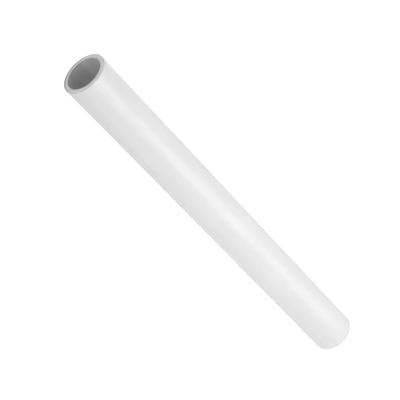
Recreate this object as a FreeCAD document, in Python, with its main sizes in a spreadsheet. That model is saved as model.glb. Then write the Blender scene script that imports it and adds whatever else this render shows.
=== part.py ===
import FreeCAD, Part
import Sketcher
import os

# A straight length of rigid round conduit: one extruded plastic tube, sawn square at
# both ends and deburred. It stands on its foot end. The origin is the centre of the
# foot, and +Z runs up the tube's axis to the top end.

doc = FreeCAD.newDocument("ConduitPipe")

# Driving sizes, in millimetres.
sheet = doc.addObject("Spreadsheet::Sheet", "Sizes")
sheet.set("A1", "Outside diameter of the tube")
sheet.set("B1", "20.0")
sheet.setAlias("B1", "outer_diameter")
sheet.set("A2", "Wall thickness, even all round")
sheet.set("B2", "2.1")
sheet.setAlias("B2", "wall_thickness")
sheet.set("A3", "Length from the foot end to the top end")
sheet.set("B3", "206.0")
sheet.setAlias("B3", "pipe_length")
sheet.set("A4", "Round on the outer edge of each sawn end")
sheet.set("B4", "0.25")
sheet.setAlias("B4", "outer_edge_round")
sheet.set("A5", "Deburring bevel on the bore's edge at each sawn end")
sheet.set("B5", "0.15")
sheet.setAlias("B5", "bore_edge_bevel")
doc.recompute()

# How closely an edge's place and radius have to agree, in millimetres, when it is picked out.
tolerance = 0.0001


def origin_plane(body, role):
    """The one of the body's own base planes that has this role."""
    for feature in body.Origin.OriginFeatures:
        if feature.Role == role:
            return feature
    raise RuntimeError("no base plane " + role)


def end_circles(shape, radius):
    """Names of the shape's circular edges of this radius that lie in its foot or top plane."""
    names = []
    ends = (shape.BoundBox.ZMin, shape.BoundBox.ZMax)
    for number, edge in enumerate(shape.Edges, start=1):
        if not isinstance(edge.Curve, Part.Circle):
            continue
        at_end = any(abs(edge.Curve.Center.z - z) < tolerance for z in ends)
        if at_end and abs(edge.Curve.Radius - radius) < tolerance:
            names.append("Edge" + str(number))
    return names


pipe = doc.addObject("PartDesign::Body", "Pipe")
pipe.Label = "conduit_pipe"
pipe.Placement = FreeCAD.Placement(FreeCAD.Vector(0, 0, 0), FreeCAD.Rotation())

# The section that the die gives the tube: two circles on one centre, a wall apart.
section = pipe.newObject("Sketcher::SketchObject", "TubeSection")
section.AttachmentSupport = [(origin_plane(pipe, "XY_Plane"), "")]
section.MapMode = "FlatFace"
centre = FreeCAD.Vector(0, 0, 0)
up = FreeCAD.Vector(0, 0, 1)
outer_radius = sheet.outer_diameter / 2
bore_radius = outer_radius - sheet.wall_thickness
outside = section.addGeometry(Part.Circle(centre, up, outer_radius), False)
bore = section.addGeometry(Part.Circle(centre, up, bore_radius), False)
section.addConstraint(Sketcher.Constraint("Coincident", outside, 3, -1, 1))
section.addConstraint(Sketcher.Constraint("Coincident", bore, 3, -1, 1))
outside_size = section.addConstraint(Sketcher.Constraint("Diameter", outside, 2 * outer_radius))
section.renameConstraint(outside_size, "outside_diameter")
section.setExpression("Constraints.outside_diameter", "Sizes.outer_diameter")
bore_size = section.addConstraint(Sketcher.Constraint("Diameter", bore, 2 * bore_radius))
section.renameConstraint(bore_size, "bore_diameter")
section.setExpression(
    "Constraints.bore_diameter", "Sizes.outer_diameter - 2 * Sizes.wall_thickness"
)

# The section drawn out along the axis, then sawn to length.
tube = pipe.newObject("PartDesign::Pad", "Tube")
tube.Profile = section
tube.setExpression("Length", "Sizes.pipe_length")
pipe.Tip = tube
doc.recompute()

# The outer corner of each sawn end is rounded over, so that a coupler slides on.
# The round takes no more than a third of the wall.
outer_edges = pipe.newObject("PartDesign::Fillet", "OuterEdgeRounds")
outer_edges.Base = (tube, end_circles(tube.Shape, outer_radius))
outer_edges.setExpression("Radius", "min(Sizes.outer_edge_round; Sizes.wall_thickness / 3)")
pipe.Tip = outer_edges
doc.recompute()

# The bore's edge is reamed at each end, so that it can't cut the cables' insulation.
# The bevel takes no more than a third of the wall.
bore_edges = pipe.newObject("PartDesign::Chamfer", "BoreEdgeBevels")
bore_edges.Base = (outer_edges, end_circles(outer_edges.Shape, bore_radius))
bore_edges.setExpression("Size", "min(Sizes.bore_edge_bevel; Sizes.wall_thickness / 3)")
pipe.Tip = bore_edges
doc.recompute()

# Nothing is written unless every step of the model worked.
for item in doc.Objects:
    if "Invalid" in item.State or "Error" in item.State:
        raise RuntimeError("failed: " + item.Name + " " + str(item.State))
if pipe.Shape.isNull() or not pipe.Shape.isValid() or len(pipe.Shape.Solids) != 1:
    raise RuntimeError("the pipe is not one valid solid")
if len(outer_edges.Base[1]) != 2 or len(bore_edges.Base[1]) != 2:
    raise RuntimeError("an end's edges were not all found")

os.makedirs("parts", exist_ok=True)
pipe.Shape.exportStep("parts/" + pipe.Label + ".step")

box = pipe.Shape.optimalBoundingBox()
print("conduit_pipe: volume %.1f mm3, box %.3f x %.3f x %.3f mm, top at z %.3f" % (
    pipe.Shape.Volume, box.XLength, box.YLength, box.ZLength, box.ZMax))
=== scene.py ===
import math

import bmesh
import bpy
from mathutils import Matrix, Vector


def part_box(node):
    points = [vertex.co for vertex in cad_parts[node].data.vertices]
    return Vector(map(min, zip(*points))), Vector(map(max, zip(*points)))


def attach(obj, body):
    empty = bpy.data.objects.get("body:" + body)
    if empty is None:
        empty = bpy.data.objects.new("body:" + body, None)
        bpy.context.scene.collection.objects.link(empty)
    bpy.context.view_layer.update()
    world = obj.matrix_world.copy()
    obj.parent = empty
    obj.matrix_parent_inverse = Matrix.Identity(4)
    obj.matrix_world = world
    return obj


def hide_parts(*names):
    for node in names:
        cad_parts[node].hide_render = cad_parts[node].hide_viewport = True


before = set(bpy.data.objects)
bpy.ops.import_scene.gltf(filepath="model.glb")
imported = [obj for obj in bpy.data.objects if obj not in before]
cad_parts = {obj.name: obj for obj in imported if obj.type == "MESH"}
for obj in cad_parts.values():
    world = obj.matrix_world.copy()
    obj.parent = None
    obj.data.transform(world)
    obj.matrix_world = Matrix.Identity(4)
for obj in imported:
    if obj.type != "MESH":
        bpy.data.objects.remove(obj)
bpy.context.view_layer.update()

# The pipe. One straight length of white rigid PVC, pushed hot through a ring-shaped die and drawn
# through a cooling sleeve, then sawn square at both ends. The outer corner of each cut is eased
# and the bore is reamed, so that a coupler slides on and no cable is cut. It stands on its foot.
pipe_foot, pipe_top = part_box("conduit_pipe")
outer_radius = pipe_top.x
pipe_length = pipe_top.z - pipe_foot.z
wall = 0.0021
outer_edge_round = 0.00025
bore_edge_bevel = 0.00015
bevel_softening = 0.00004
bore_radius = outer_radius - wall
facets_round = 192
round_segments = 6
softening_segments = 3
weight_of_large_faces = 100

# How near points have to lie to be picked, how upright the normal of a level face has to be, and
# how near two points are merged.
close = 0.00001
level_normal = 0.99
welding_gap = 0.000001


def edges_at(piece, radius, height):
    """Selects the ring of edges that lies at this radius and this height."""
    bpy.ops.mesh.select_all(action="DESELECT")
    mesh = bmesh.from_edit_mesh(piece.data)
    for edge in mesh.edges:
        edge.select_set(all(
            abs(math.hypot(point.co.x, point.co.y) - radius) < close
            and abs(point.co.z - height) < close
            for point in edge.verts
        ))
    bmesh.update_edit_mesh(piece.data)


def faces_where(piece, wanted):
    """Selects the faces that the test picks."""
    bpy.ops.mesh.select_all(action="DESELECT")
    mesh = bmesh.from_edit_mesh(piece.data)
    for face in mesh.faces:
        face.select_set(wanted(face))
    bmesh.update_edit_mesh(piece.data)


def is_sawn(face):
    """True for the level faces at the two ends."""
    return abs(face.normal.z) > level_normal


def is_lining(face):
    """True for the bore's wall and for the bevels at its two ends."""
    middle = face.calc_center_median()
    return math.hypot(middle.x, middle.y) < bore_radius + bore_edge_bevel and not is_sawn(face)


bpy.ops.object.select_all(action="DESELECT")
bpy.ops.mesh.primitive_cylinder_add(
    vertices=facets_round, radius=outer_radius, depth=pipe_length,
    location=(0, 0, pipe_length / 2),
)
pipe = bpy.context.object
pipe.name = "pvc_pipe"
pipe.data.name = "pvc_pipe"
bpy.ops.object.transform_apply(location=True)

# The bore is opened from end to end.
bpy.ops.object.mode_set(mode="EDIT")
bpy.ops.mesh.select_mode(type="FACE")
faces_where(pipe, is_sawn)
bpy.ops.mesh.inset(thickness=wall)
bpy.ops.mesh.bridge_edge_loops()

# Both sawn ends are eased: a round outside, a reamed bevel inside with its two corners softened.
bpy.ops.mesh.select_mode(type="EDGE")
for height, inwards in ((0, 1), (pipe_length, -1)):
    edges_at(pipe, outer_radius, height)
    bpy.ops.mesh.bevel(offset=outer_edge_round, segments=round_segments, affect="EDGES")
    edges_at(pipe, bore_radius, height)
    bpy.ops.mesh.bevel(offset=bore_edge_bevel, segments=1, affect="EDGES")
    edges_at(pipe, bore_radius + bore_edge_bevel, height)
    bpy.ops.mesh.bevel(offset=bevel_softening, segments=softening_segments, affect="EDGES")
    edges_at(pipe, bore_radius, height + inwards * bore_edge_bevel)
    bpy.ops.mesh.bevel(offset=bevel_softening, segments=softening_segments, affect="EDGES")

# Doubles are merged, and the large faces keep their own normals beside the small ones.
bpy.ops.mesh.select_all(action="SELECT")
bpy.ops.mesh.remove_doubles(threshold=welding_gap)
bpy.ops.mesh.normals_make_consistent(inside=False)
bpy.ops.object.mode_set(mode="OBJECT")
bpy.ops.object.shade_smooth()
bpy.ops.object.modifier_add(type="WEIGHTED_NORMAL")
pipe.modifiers[-1].weight = weight_of_large_faces
bpy.ops.object.modifier_apply(modifier=pipe.modifiers[-1].name)


def new_group(name, inputs, outputs):
    """An empty shader node group with these sockets, and its input and output nodes."""
    group = bpy.data.node_groups.new(name, "ShaderNodeTree")
    for title, kind in inputs:
        group.interface.new_socket(title, in_out="INPUT", socket_type="NodeSocket" + kind)
    for title, kind in outputs:
        group.interface.new_socket(title, in_out="OUTPUT", socket_type="NodeSocket" + kind)
    return group, group.nodes.new("NodeGroupInput"), group.nodes.new("NodeGroupOutput")


def put(tree, kind, sockets=(), **settings):
    """Adds a node to the tree, makes its settings, and fills its sockets with values or links."""
    node = tree.nodes.new("ShaderNode" + kind)
    for setting, value in settings.items():
        setattr(node, setting, value)
    for socket, value in dict(sockets).items():
        if isinstance(value, bpy.types.NodeSocket):
            tree.links.new(value, node.inputs[socket])
        else:
            node.inputs[socket].default_value = value
    return node


def reckon(tree, operation, first, second=0):
    """The result of one Math node."""
    return put(tree, "Math", {0: first, 1: second}, operation=operation).outputs[0]


def scale(tree, colour, factor):
    """The colour made lighter or darker by this factor."""
    scaled = put(tree, "VectorMath", {0: colour, "Scale": factor}, operation="SCALE")
    return scaled.outputs["Vector"]


def blend(tree, share, first, second):
    """The first colour with this share of the second; 6, 7 and 2 are Mix's colour sockets."""
    return put(tree, "Mix", {0: share, 6: first, 7: second}, data_type="RGBA").outputs[2]


# Melt cloud: the compound is never mixed quite evenly, so its white drifts along the length in
# long soft patches, with a fine grain over them.
melt_cloud, taken, given = new_group(
    "melt_cloud",
    (("Place", "Vector"), ("Colour", "Color"), ("Drift", "Float"), ("Grain", "Float")),
    (("Colour", "Color"),),
)
long_patches = put(melt_cloud, "Mapping", {"Vector": taken.outputs["Place"], "Scale": (1, 1, 0.3)})
patches = put(
    melt_cloud, "TexNoise",
    {"Vector": long_patches.outputs[0], "Scale": 110, "Detail": 3, "Roughness": 0.55},
)
grains = put(
    melt_cloud, "TexNoise",
    {"Vector": taken.outputs["Place"], "Scale": 900, "Detail": 3, "Roughness": 0.6},
)
noise_middle = 0.5
drift = reckon(melt_cloud, "MULTIPLY", taken.outputs["Drift"],
               reckon(melt_cloud, "SUBTRACT", patches.outputs[0], noise_middle))
grain = reckon(melt_cloud, "MULTIPLY", taken.outputs["Grain"],
               reckon(melt_cloud, "SUBTRACT", grains.outputs[0], noise_middle))
tone = reckon(melt_cloud, "ADD", reckon(melt_cloud, "ADD", drift, grain), 1)
melt_cloud.links.new(scale(melt_cloud, taken.outputs["Colour"], tone), given.inputs["Colour"])

# Die lines: the die's lips and the sleeve draw fine straight lines along the whole length, some
# close together and some broad and shallow.
die_lines, taken, given = new_group(
    "die_lines",
    (("Place", "Vector"), ("Fine share", "Float")),
    (("Height", "Float"),),
)
drawn_out = put(die_lines, "Mapping", {"Vector": taken.outputs["Place"], "Scale": (1, 1, 0.012)})
fine_lines = put(
    die_lines, "TexNoise",
    {"Vector": drawn_out.outputs[0], "Scale": 1500, "Detail": 2, "Roughness": 0.6},
)
broad_lines = put(
    die_lines, "TexNoise",
    {"Vector": drawn_out.outputs[0], "Scale": 260, "Detail": 1, "Roughness": 0.5},
)
lines = put(die_lines, "Mix", {0: taken.outputs["Fine share"],
                               2: broad_lines.outputs[0], 3: fine_lines.outputs[0]})
die_lines.links.new(lines.outputs[0], given.inputs["Height"])

# Corner shade and wear: a thin ragged line along the corners of the cut ends. The materials paint it
# grey as painted shade of the rounds there, and the skin is made rougher in it. The line is widest
# on the far side, back and left, where the rounds lie in shade, and wider at the foot.
corner_shade_and_wear, taken, given = new_group(
    "corner_shade_and_wear",
    (("Place", "Vector"), ("Corner radius", "Float"), ("Reach", "Float")),
    (("Mask", "Float"),),
)
shaded_side = (-0.5, 0.866, 0)
narrowest_line = 0.7
widest_line = 8
more_at_foot = 1.5


def distance(tree, first, second):
    """How far off a point is whose two offsets, square to each other, are these."""
    return reckon(tree, "SQRT", reckon(
        tree, "ADD",
        reckon(tree, "MULTIPLY", first, first),
        reckon(tree, "MULTIPLY", second, second),
    ))


axes = put(corner_shade_and_wear, "SeparateXYZ", {0: taken.outputs["Place"]}).outputs
from_axis = distance(corner_shade_and_wear, axes["X"], axes["Y"])
from_corner = reckon(corner_shade_and_wear, "SUBTRACT", from_axis, taken.outputs["Corner radius"])
from_top = reckon(corner_shade_and_wear, "SUBTRACT", pipe_length, axes["Z"])
from_end = reckon(corner_shade_and_wear, "MINIMUM", axes["Z"], from_top)
away = distance(corner_shade_and_wear, from_corner, from_end)
ragged = put(
    corner_shade_and_wear, "TexNoise",
    {"Vector": taken.outputs["Place"], "Scale": 1600, "Detail": 4, "Roughness": 0.7},
)
# The painted shade line widens towards the far side, back and left, where the rounds lie in shade.
toward_shaded_side = put(corner_shade_and_wear, "VectorMath", {0: taken.outputs["Place"], 1: shaded_side},
                   operation="DOT_PRODUCT")
wider = put(corner_shade_and_wear, "MapRange", {
    "Value": reckon(corner_shade_and_wear, "DIVIDE", toward_shaded_side.outputs["Value"], outer_radius),
    "From Min": 0.1, "From Max": 0.95, "To Min": narrowest_line, "To Max": widest_line},
    interpolation_type="SMOOTHSTEP")
at_foot = reckon(corner_shade_and_wear, "LESS_THAN", axes["Z"], pipe_length / 2)
wide = reckon(corner_shade_and_wear, "ADD", wider.outputs["Result"],
              reckon(corner_shade_and_wear, "MULTIPLY", at_foot, more_at_foot))
reached = reckon(corner_shade_and_wear, "MULTIPLY", taken.outputs["Reach"],
                 reckon(corner_shade_and_wear, "MULTIPLY", ragged.outputs[0], wide))
corner_line = put(
    corner_shade_and_wear, "MapRange",
    {"Value": reckon(corner_shade_and_wear, "DIVIDE", away, reached),
     "From Min": 0.4, "From Max": 1, "To Min": 1, "To Max": 0},
    interpolation_type="SMOOTHSTEP",
)
corner_shade_and_wear.links.new(corner_line.outputs["Result"], given.inputs["Mask"])

# Handling marks: hairline scratches from the bundle and the van, nearly lengthwise, in a few
# places where the pipe rubbed on its neighbours.
handling_marks, taken, given = new_group(
    "handling_marks",
    (("Place", "Vector"), ("Hair width", "Float")),
    (("Mask", "Float"), ("Rub", "Float")),
)
hairs = 0
for tilt, lean in ((3, -2), (-4, 5)):
    laid = put(handling_marks, "Mapping", {
        "Vector": taken.outputs["Place"],
        "Rotation": (math.radians(tilt), math.radians(lean), 0), "Scale": (1, 1, 0.008)})
    contours = put(handling_marks, "TexNoise",
                   {"Vector": laid.outputs[0], "Scale": 480, "Detail": 0})
    off_line = reckon(handling_marks, "ABSOLUTE",
                      reckon(handling_marks, "SUBTRACT", contours.outputs[0], noise_middle))
    hair = put(handling_marks, "MapRange", {
        "Value": reckon(handling_marks, "DIVIDE", off_line, taken.outputs["Hair width"]),
        "From Min": 0, "From Max": 1, "To Min": 1, "To Max": 0})
    hairs = reckon(handling_marks, "MAXIMUM", hairs, hair.outputs["Result"])
rubbed_at = put(handling_marks, "Mapping", {"Vector": taken.outputs["Place"], "Scale": (1, 1, 0.2)})
rubbed_spots = put(handling_marks, "TexNoise",
                   {"Vector": rubbed_at.outputs[0], "Scale": 260, "Detail": 3, "Roughness": 0.6})
rub = put(
    handling_marks, "MapRange",
    {"Value": rubbed_spots.outputs[0], "From Min": 0.52, "From Max": 0.68},
    interpolation_type="SMOOTHSTEP",
).outputs["Result"]
scratched = reckon(handling_marks, "MULTIPLY", hairs, rub)
handling_marks.links.new(scratched, given.inputs["Mask"])
handling_marks.links.new(rub, given.inputs["Rub"])


def place_group(tree, group, **values):
    """Places a node group in a material with its own values."""
    node = tree.nodes.new("ShaderNodeGroup")
    node.node_tree = group
    for socket, value in values.items():
        socket = socket.replace("_", " ").capitalize()
        if isinstance(value, bpy.types.NodeSocket):
            tree.links.new(value, node.inputs[socket])
        else:
            node.inputs[socket].default_value = value
    return node


def new_material(name, ior):
    """A material with one plain Principled shader, and the place on the piece that patterns read."""
    material = bpy.data.materials.new(name)
    material.use_nodes = True
    tree = material.node_tree
    shader = tree.nodes["Principled BSDF"]
    shader.inputs["IOR"].default_value = ior
    return material, tree, shader, put(tree, "TexCoord").outputs["Object"]


# The skin that die and sleeve left: satin white, drawn in fine lines, with hairline scratches, and
# rougher at the corners of its two ends, where a grey line is painted as painted shade of the
# rounds.
skin_white = (0.80, 0.80, 0.80, 1)
scuff_grey = (0.55, 0.55, 0.55, 1)
corner_shade_grey = (0.42, 0.42, 0.42, 1)
pvc_ior = 1.53
corner_reach_outside = 0.0005
shade_share_outside = 0.8
scuff_share = 0.35
rub_dulls = 0.10
worn_roughness = 0.65
scratch_depth = 0.1
skin, tree, shader, place = new_material("extruded_skin", pvc_ior)
shader.inputs["Specular IOR Level"].default_value = 0.3
cloud = place_group(tree, melt_cloud, place=place, colour=skin_white, drift=0.12, grain=0.05)
marks = place_group(tree, handling_marks, place=place, hair_width=0.012)
shade_and_wear = place_group(tree, corner_shade_and_wear, place=place, corner_radius=outer_radius, reach=corner_reach_outside)
scuffed = blend(tree, reckon(tree, "MULTIPLY", marks.outputs["Mask"], scuff_share),
                cloud.outputs["Colour"], scuff_grey)
# The corners are painted grey here: painted shade of the eased rounds.
corner_shaded = blend(tree, reckon(tree, "MULTIPLY", shade_and_wear.outputs["Mask"], shade_share_outside),
               scuffed, corner_shade_grey)
tree.links.new(corner_shaded, shader.inputs["Base Color"])
drawn = place_group(tree, die_lines, place=place, fine_share=0.55)
gloss = put(tree, "MapRange", {"Value": drawn.outputs["Height"], "From Min": 0.35, "From Max": 0.65,
                               "To Min": 0.34, "To Max": 0.46})
dulled = reckon(tree, "ADD", gloss.outputs["Result"],
                reckon(tree, "MULTIPLY", marks.outputs["Rub"], rub_dulls))
dulled = reckon(tree, "MAXIMUM", dulled,
                reckon(tree, "MULTIPLY", shade_and_wear.outputs["Mask"], worn_roughness))
tree.links.new(dulled, shader.inputs["Roughness"])
cut_in = reckon(tree, "SUBTRACT", drawn.outputs["Height"],
                reckon(tree, "MULTIPLY", marks.outputs["Mask"], scratch_depth))
relief = put(tree, "Bump", {"Height": cut_in, "Distance": 0.00008, "Strength": 1})
tree.links.new(relief.outputs[0], shader.inputs["Normal"])

# The sawn faces: matt and a little grey, with the saw's tooth marks across them, and the same
# painted shade line at their corners.
sawn_white = (0.84, 0.84, 0.84, 1)
saw_angle = 37
sawn, tree, shader, place = new_material("sawn_end", pvc_ior)
cloud = place_group(tree, melt_cloud, place=place, colour=sawn_white, drift=0.14, grain=0.16)
across = put(tree, "Mapping", {"Vector": place, "Rotation": (0, 0, math.radians(saw_angle))})
teeth = put(tree, "TexWave", {"Vector": across.outputs[0], "Scale": 640, "Distortion": 2.6,
                              "Detail": 3, "Detail Scale": 0.9}, bands_direction="X")
shade_and_wear = place_group(tree, corner_shade_and_wear, place=place, corner_radius=outer_radius, reach=corner_reach_outside)
marked = put(tree, "MapRange", {"Value": teeth.outputs["Fac"], "To Min": 0.91, "To Max": 1})
lined = scale(tree, cloud.outputs["Colour"], marked.outputs["Result"])
# The corners are painted grey here: painted shade of the eased rounds.
corner_shaded = blend(tree, reckon(tree, "MULTIPLY", shade_and_wear.outputs["Mask"], shade_share_outside),
               lined, corner_shade_grey)
tree.links.new(corner_shaded, shader.inputs["Base Color"])
rough = put(tree, "MapRange", {"Value": teeth.outputs["Fac"], "To Min": 0.75, "To Max": 0.6})
tree.links.new(rough.outputs["Result"], shader.inputs["Roughness"])
relief = put(tree, "Bump", {"Height": teeth.outputs["Fac"], "Distance": 0.000015, "Strength": 1})
tree.links.new(relief.outputs[0], shader.inputs["Normal"])

# The bore's wall, which no sleeve polished: duller, with coarser lines and a little dust. Its white
# is painted darker than the skin's, as painted shade of the deep bore, and its corners get a fainter
# painted shade line.
bore_white_with_shade = (0.66, 0.66, 0.66, 1)
corner_reach_inside = 0.0003
shade_share_inside = 0.3
lining, tree, shader, place = new_material("bore_wall", pvc_ior)
cloud = place_group(tree, melt_cloud, place=place, colour=bore_white_with_shade, drift=0.25, grain=0.14)
shade_and_wear = place_group(tree, corner_shade_and_wear, place=place, corner_radius=bore_radius, reach=corner_reach_inside)
drawn = place_group(tree, die_lines, place=place, fine_share=0.4)
dusted = put(tree, "MapRange", {"Value": drawn.outputs["Height"], "From Min": 0.3, "From Max": 0.7,
                                "To Min": 0.9, "To Max": 1.08})
streaked = scale(tree, cloud.outputs["Colour"], dusted.outputs["Result"])
# A fainter painted shade line along the corners of the bore.
corner_shaded = blend(tree, reckon(tree, "MULTIPLY", shade_and_wear.outputs["Mask"], shade_share_inside),
               streaked, corner_shade_grey)
tree.links.new(corner_shaded, shader.inputs["Base Color"])
gloss = put(tree, "MapRange", {"Value": drawn.outputs["Height"], "From Min": 0.3, "From Max": 0.7,
                               "To Min": 0.46, "To Max": 0.66})
tree.links.new(gloss.outputs["Result"], shader.inputs["Roughness"])
relief = put(tree, "Bump", {"Height": drawn.outputs["Height"], "Distance": 0.00018, "Strength": 1})
tree.links.new(relief.outputs[0], shader.inputs["Normal"])

# The skin covers the whole tube first, and then the sawn faces and the bore get their own finish.
for material in (skin, sawn, lining):
    bpy.ops.object.material_slot_add()
    pipe.material_slots[-1].material = material
bpy.ops.object.mode_set(mode="EDIT")
bpy.ops.mesh.select_mode(type="FACE")
for slot_number, wanted in ((1, is_sawn), (2, is_lining)):
    faces_where(pipe, wanted)
    pipe.active_material_index = slot_number
    bpy.ops.object.material_slot_assign()
bpy.ops.object.mode_set(mode="OBJECT")

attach(pipe, "root")
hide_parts("conduit_pipe")

# The table. A wide sheet of matt white paper that the pipe stands on and leaves its shadow on. It
# is lifted to full white where the camera sees it, and less where the pipe's gloss shows it.
table_side = 6
paper_white = (0.85, 0.85, 0.85, 1)
lift_seen = 0.72
lift_in_gloss = 0.2
bpy.ops.object.select_all(action="DESELECT")
bpy.ops.mesh.primitive_plane_add(size=table_side, location=(0, 0, 0))
table = bpy.context.object
table.name = "table"
paper = bpy.data.materials.new("white_paper")
paper.use_nodes = True
tree = paper.node_tree
tree.nodes.clear()
matt = put(tree, "BsdfDiffuse", {"Color": paper_white})
path = put(tree, "LightPath").outputs
seen = reckon(tree, "MAXIMUM", path["Is Camera Ray"], path["Is Transmission Ray"])
lift = put(tree, "Emission", {"Strength": reckon(
    tree, "ADD", reckon(tree, "MULTIPLY", seen, lift_seen),
    reckon(tree, "MULTIPLY", path["Is Glossy Ray"], lift_in_gloss))})
both = put(tree, "AddShader", {0: matt.outputs[0], 1: lift.outputs[0]})
put(tree, "OutputMaterial", {"Surface": both.outputs[0]})
table.data.materials.append(paper)

# The room. Its light is bright low down all round and dim overhead, but for the camera's side. The
# camera, a gloss and a glass see plain white instead.
low_walls_level = 1.1
ceiling_level = 0.2
camera_side_level = 2.1
walls_end = 0.5
ceiling_full = 0.87
world = bpy.data.worlds.new("white_room")
bpy.context.scene.world = world
world.use_nodes = True
tree = world.node_tree
tree.nodes.clear()
towards = put(tree, "SeparateXYZ", {0: put(tree, "TexCoord").outputs["Generated"]}).outputs
low_walls = put(
    tree, "MapRange",
    {"Value": towards["Z"], "From Min": 0, "From Max": walls_end,
     "To Min": low_walls_level, "To Max": 0},
    interpolation_type="SMOOTHSTEP",
)
overhead = put(
    tree, "MapRange",
    {"Value": towards["Z"], "From Min": walls_end, "From Max": ceiling_full,
     "To Min": 0, "To Max": 1},
    interpolation_type="SMOOTHSTEP",
)
camera_side = reckon(tree, "MULTIPLY", towards["Y"], -camera_side_level)
camera_side = reckon(tree, "MAXIMUM", camera_side, 0)
ceiling = reckon(tree, "MULTIPLY", overhead.outputs["Result"],
                 reckon(tree, "ADD", camera_side, ceiling_level))
room = put(tree, "Background", {"Color": (1, 1, 1, 1), "Strength": reckon(
    tree, "ADD", low_walls.outputs["Result"], ceiling)})
white = put(tree, "Background", {"Color": (1, 1, 1, 1), "Strength": 1})
path = put(tree, "LightPath").outputs
seen = reckon(tree, "MAXIMUM", path["Is Camera Ray"],
              reckon(tree, "MAXIMUM", path["Is Glossy Ray"], path["Is Transmission Ray"]))
chosen = put(tree, "MixShader", {0: seen, 1: room.outputs[0], 2: white.outputs[0]})
put(tree, "OutputWorld", {"Surface": chosen.outputs[0]})


# The lamps. Soft boxes, which the pipe's gloss doesn't show: three low ones for the skin on the
# camera's side, two high ones for the bore, and a low one behind, so that the back isn't left dark.
def soft_box(name, azimuth, away, height, width, tall, watts, down=0):
    """A soft box at this azimuth, counted from the camera's side towards +X, facing the pipe.

    Down is how far it is tipped down from level, in degrees."""
    turn = math.radians(azimuth)
    bpy.ops.object.light_add(
        type="AREA",
        location=(away * math.sin(turn), -away * math.cos(turn), height),
        rotation=(math.radians(90 - down), 0, turn),
    )
    box = bpy.context.object
    box.name = name
    box.data.shape = "RECTANGLE"
    box.data.size = width
    box.data.size_y = tall
    box.data.energy = watts
    box.visible_camera = False
    box.visible_glossy = False
    return box


soft_box("key_box", azimuth=40, away=0.5, height=0.08, width=0.3, tall=0.16, watts=0.955)
soft_box("fill_box", azimuth=-70, away=0.25, height=0.03, width=0.12, tall=0.06, watts=0.16)
soft_box("side_box", azimuth=60, away=0.2, height=0.02, width=0.1, tall=0.04, watts=0.03)
soft_box("high_box", azimuth=-75, away=0.418, height=0.704, width=0.5, tall=0.5, watts=1.37,
         down=50)
soft_box("rear_high_box", azimuth=120, away=0.418, height=0.704, width=0.3, tall=0.3, watts=0.42,
         down=50)
soft_box("back_box", azimuth=155, away=0.5, height=0.08, width=0.3, tall=0.16, watts=0.8)

# A narrow strip beside the pipe and as long, tipped a little sideways. Only a gloss shows it, as
# one soft line on the skin, and its beam is narrowed, so that the line isn't glaring from above.
strip_tip = -0.77
strip_beam = 140
strip = soft_box("side_strip", azimuth=20, away=0.020, height=pipe_length / 2, width=0.010,
                 tall=pipe_length, watts=0.0142)
strip.data.spread = math.radians(strip_beam)
strip.rotation_euler.y = math.radians(strip_tip)
strip.visible_diffuse = False
strip.visible_glossy = True

# The camera of the photograph: a long lens, above the pipe and rolled.
bpy.ops.object.camera_add(
    location=(0, -0.492079, 0.522220),
    rotation=(math.radians(41.1749), math.radians(32.4567), math.radians(-31.3269)),
)
camera = bpy.context.object
camera.name = "camera"
camera.data.sensor_width = 36
camera.data.lens = 131.542
camera.data.clip_start = 0.01
camera.data.clip_end = 20
bpy.context.scene.camera = camera

bpy.context.scene.view_settings.view_transform = "Standard"
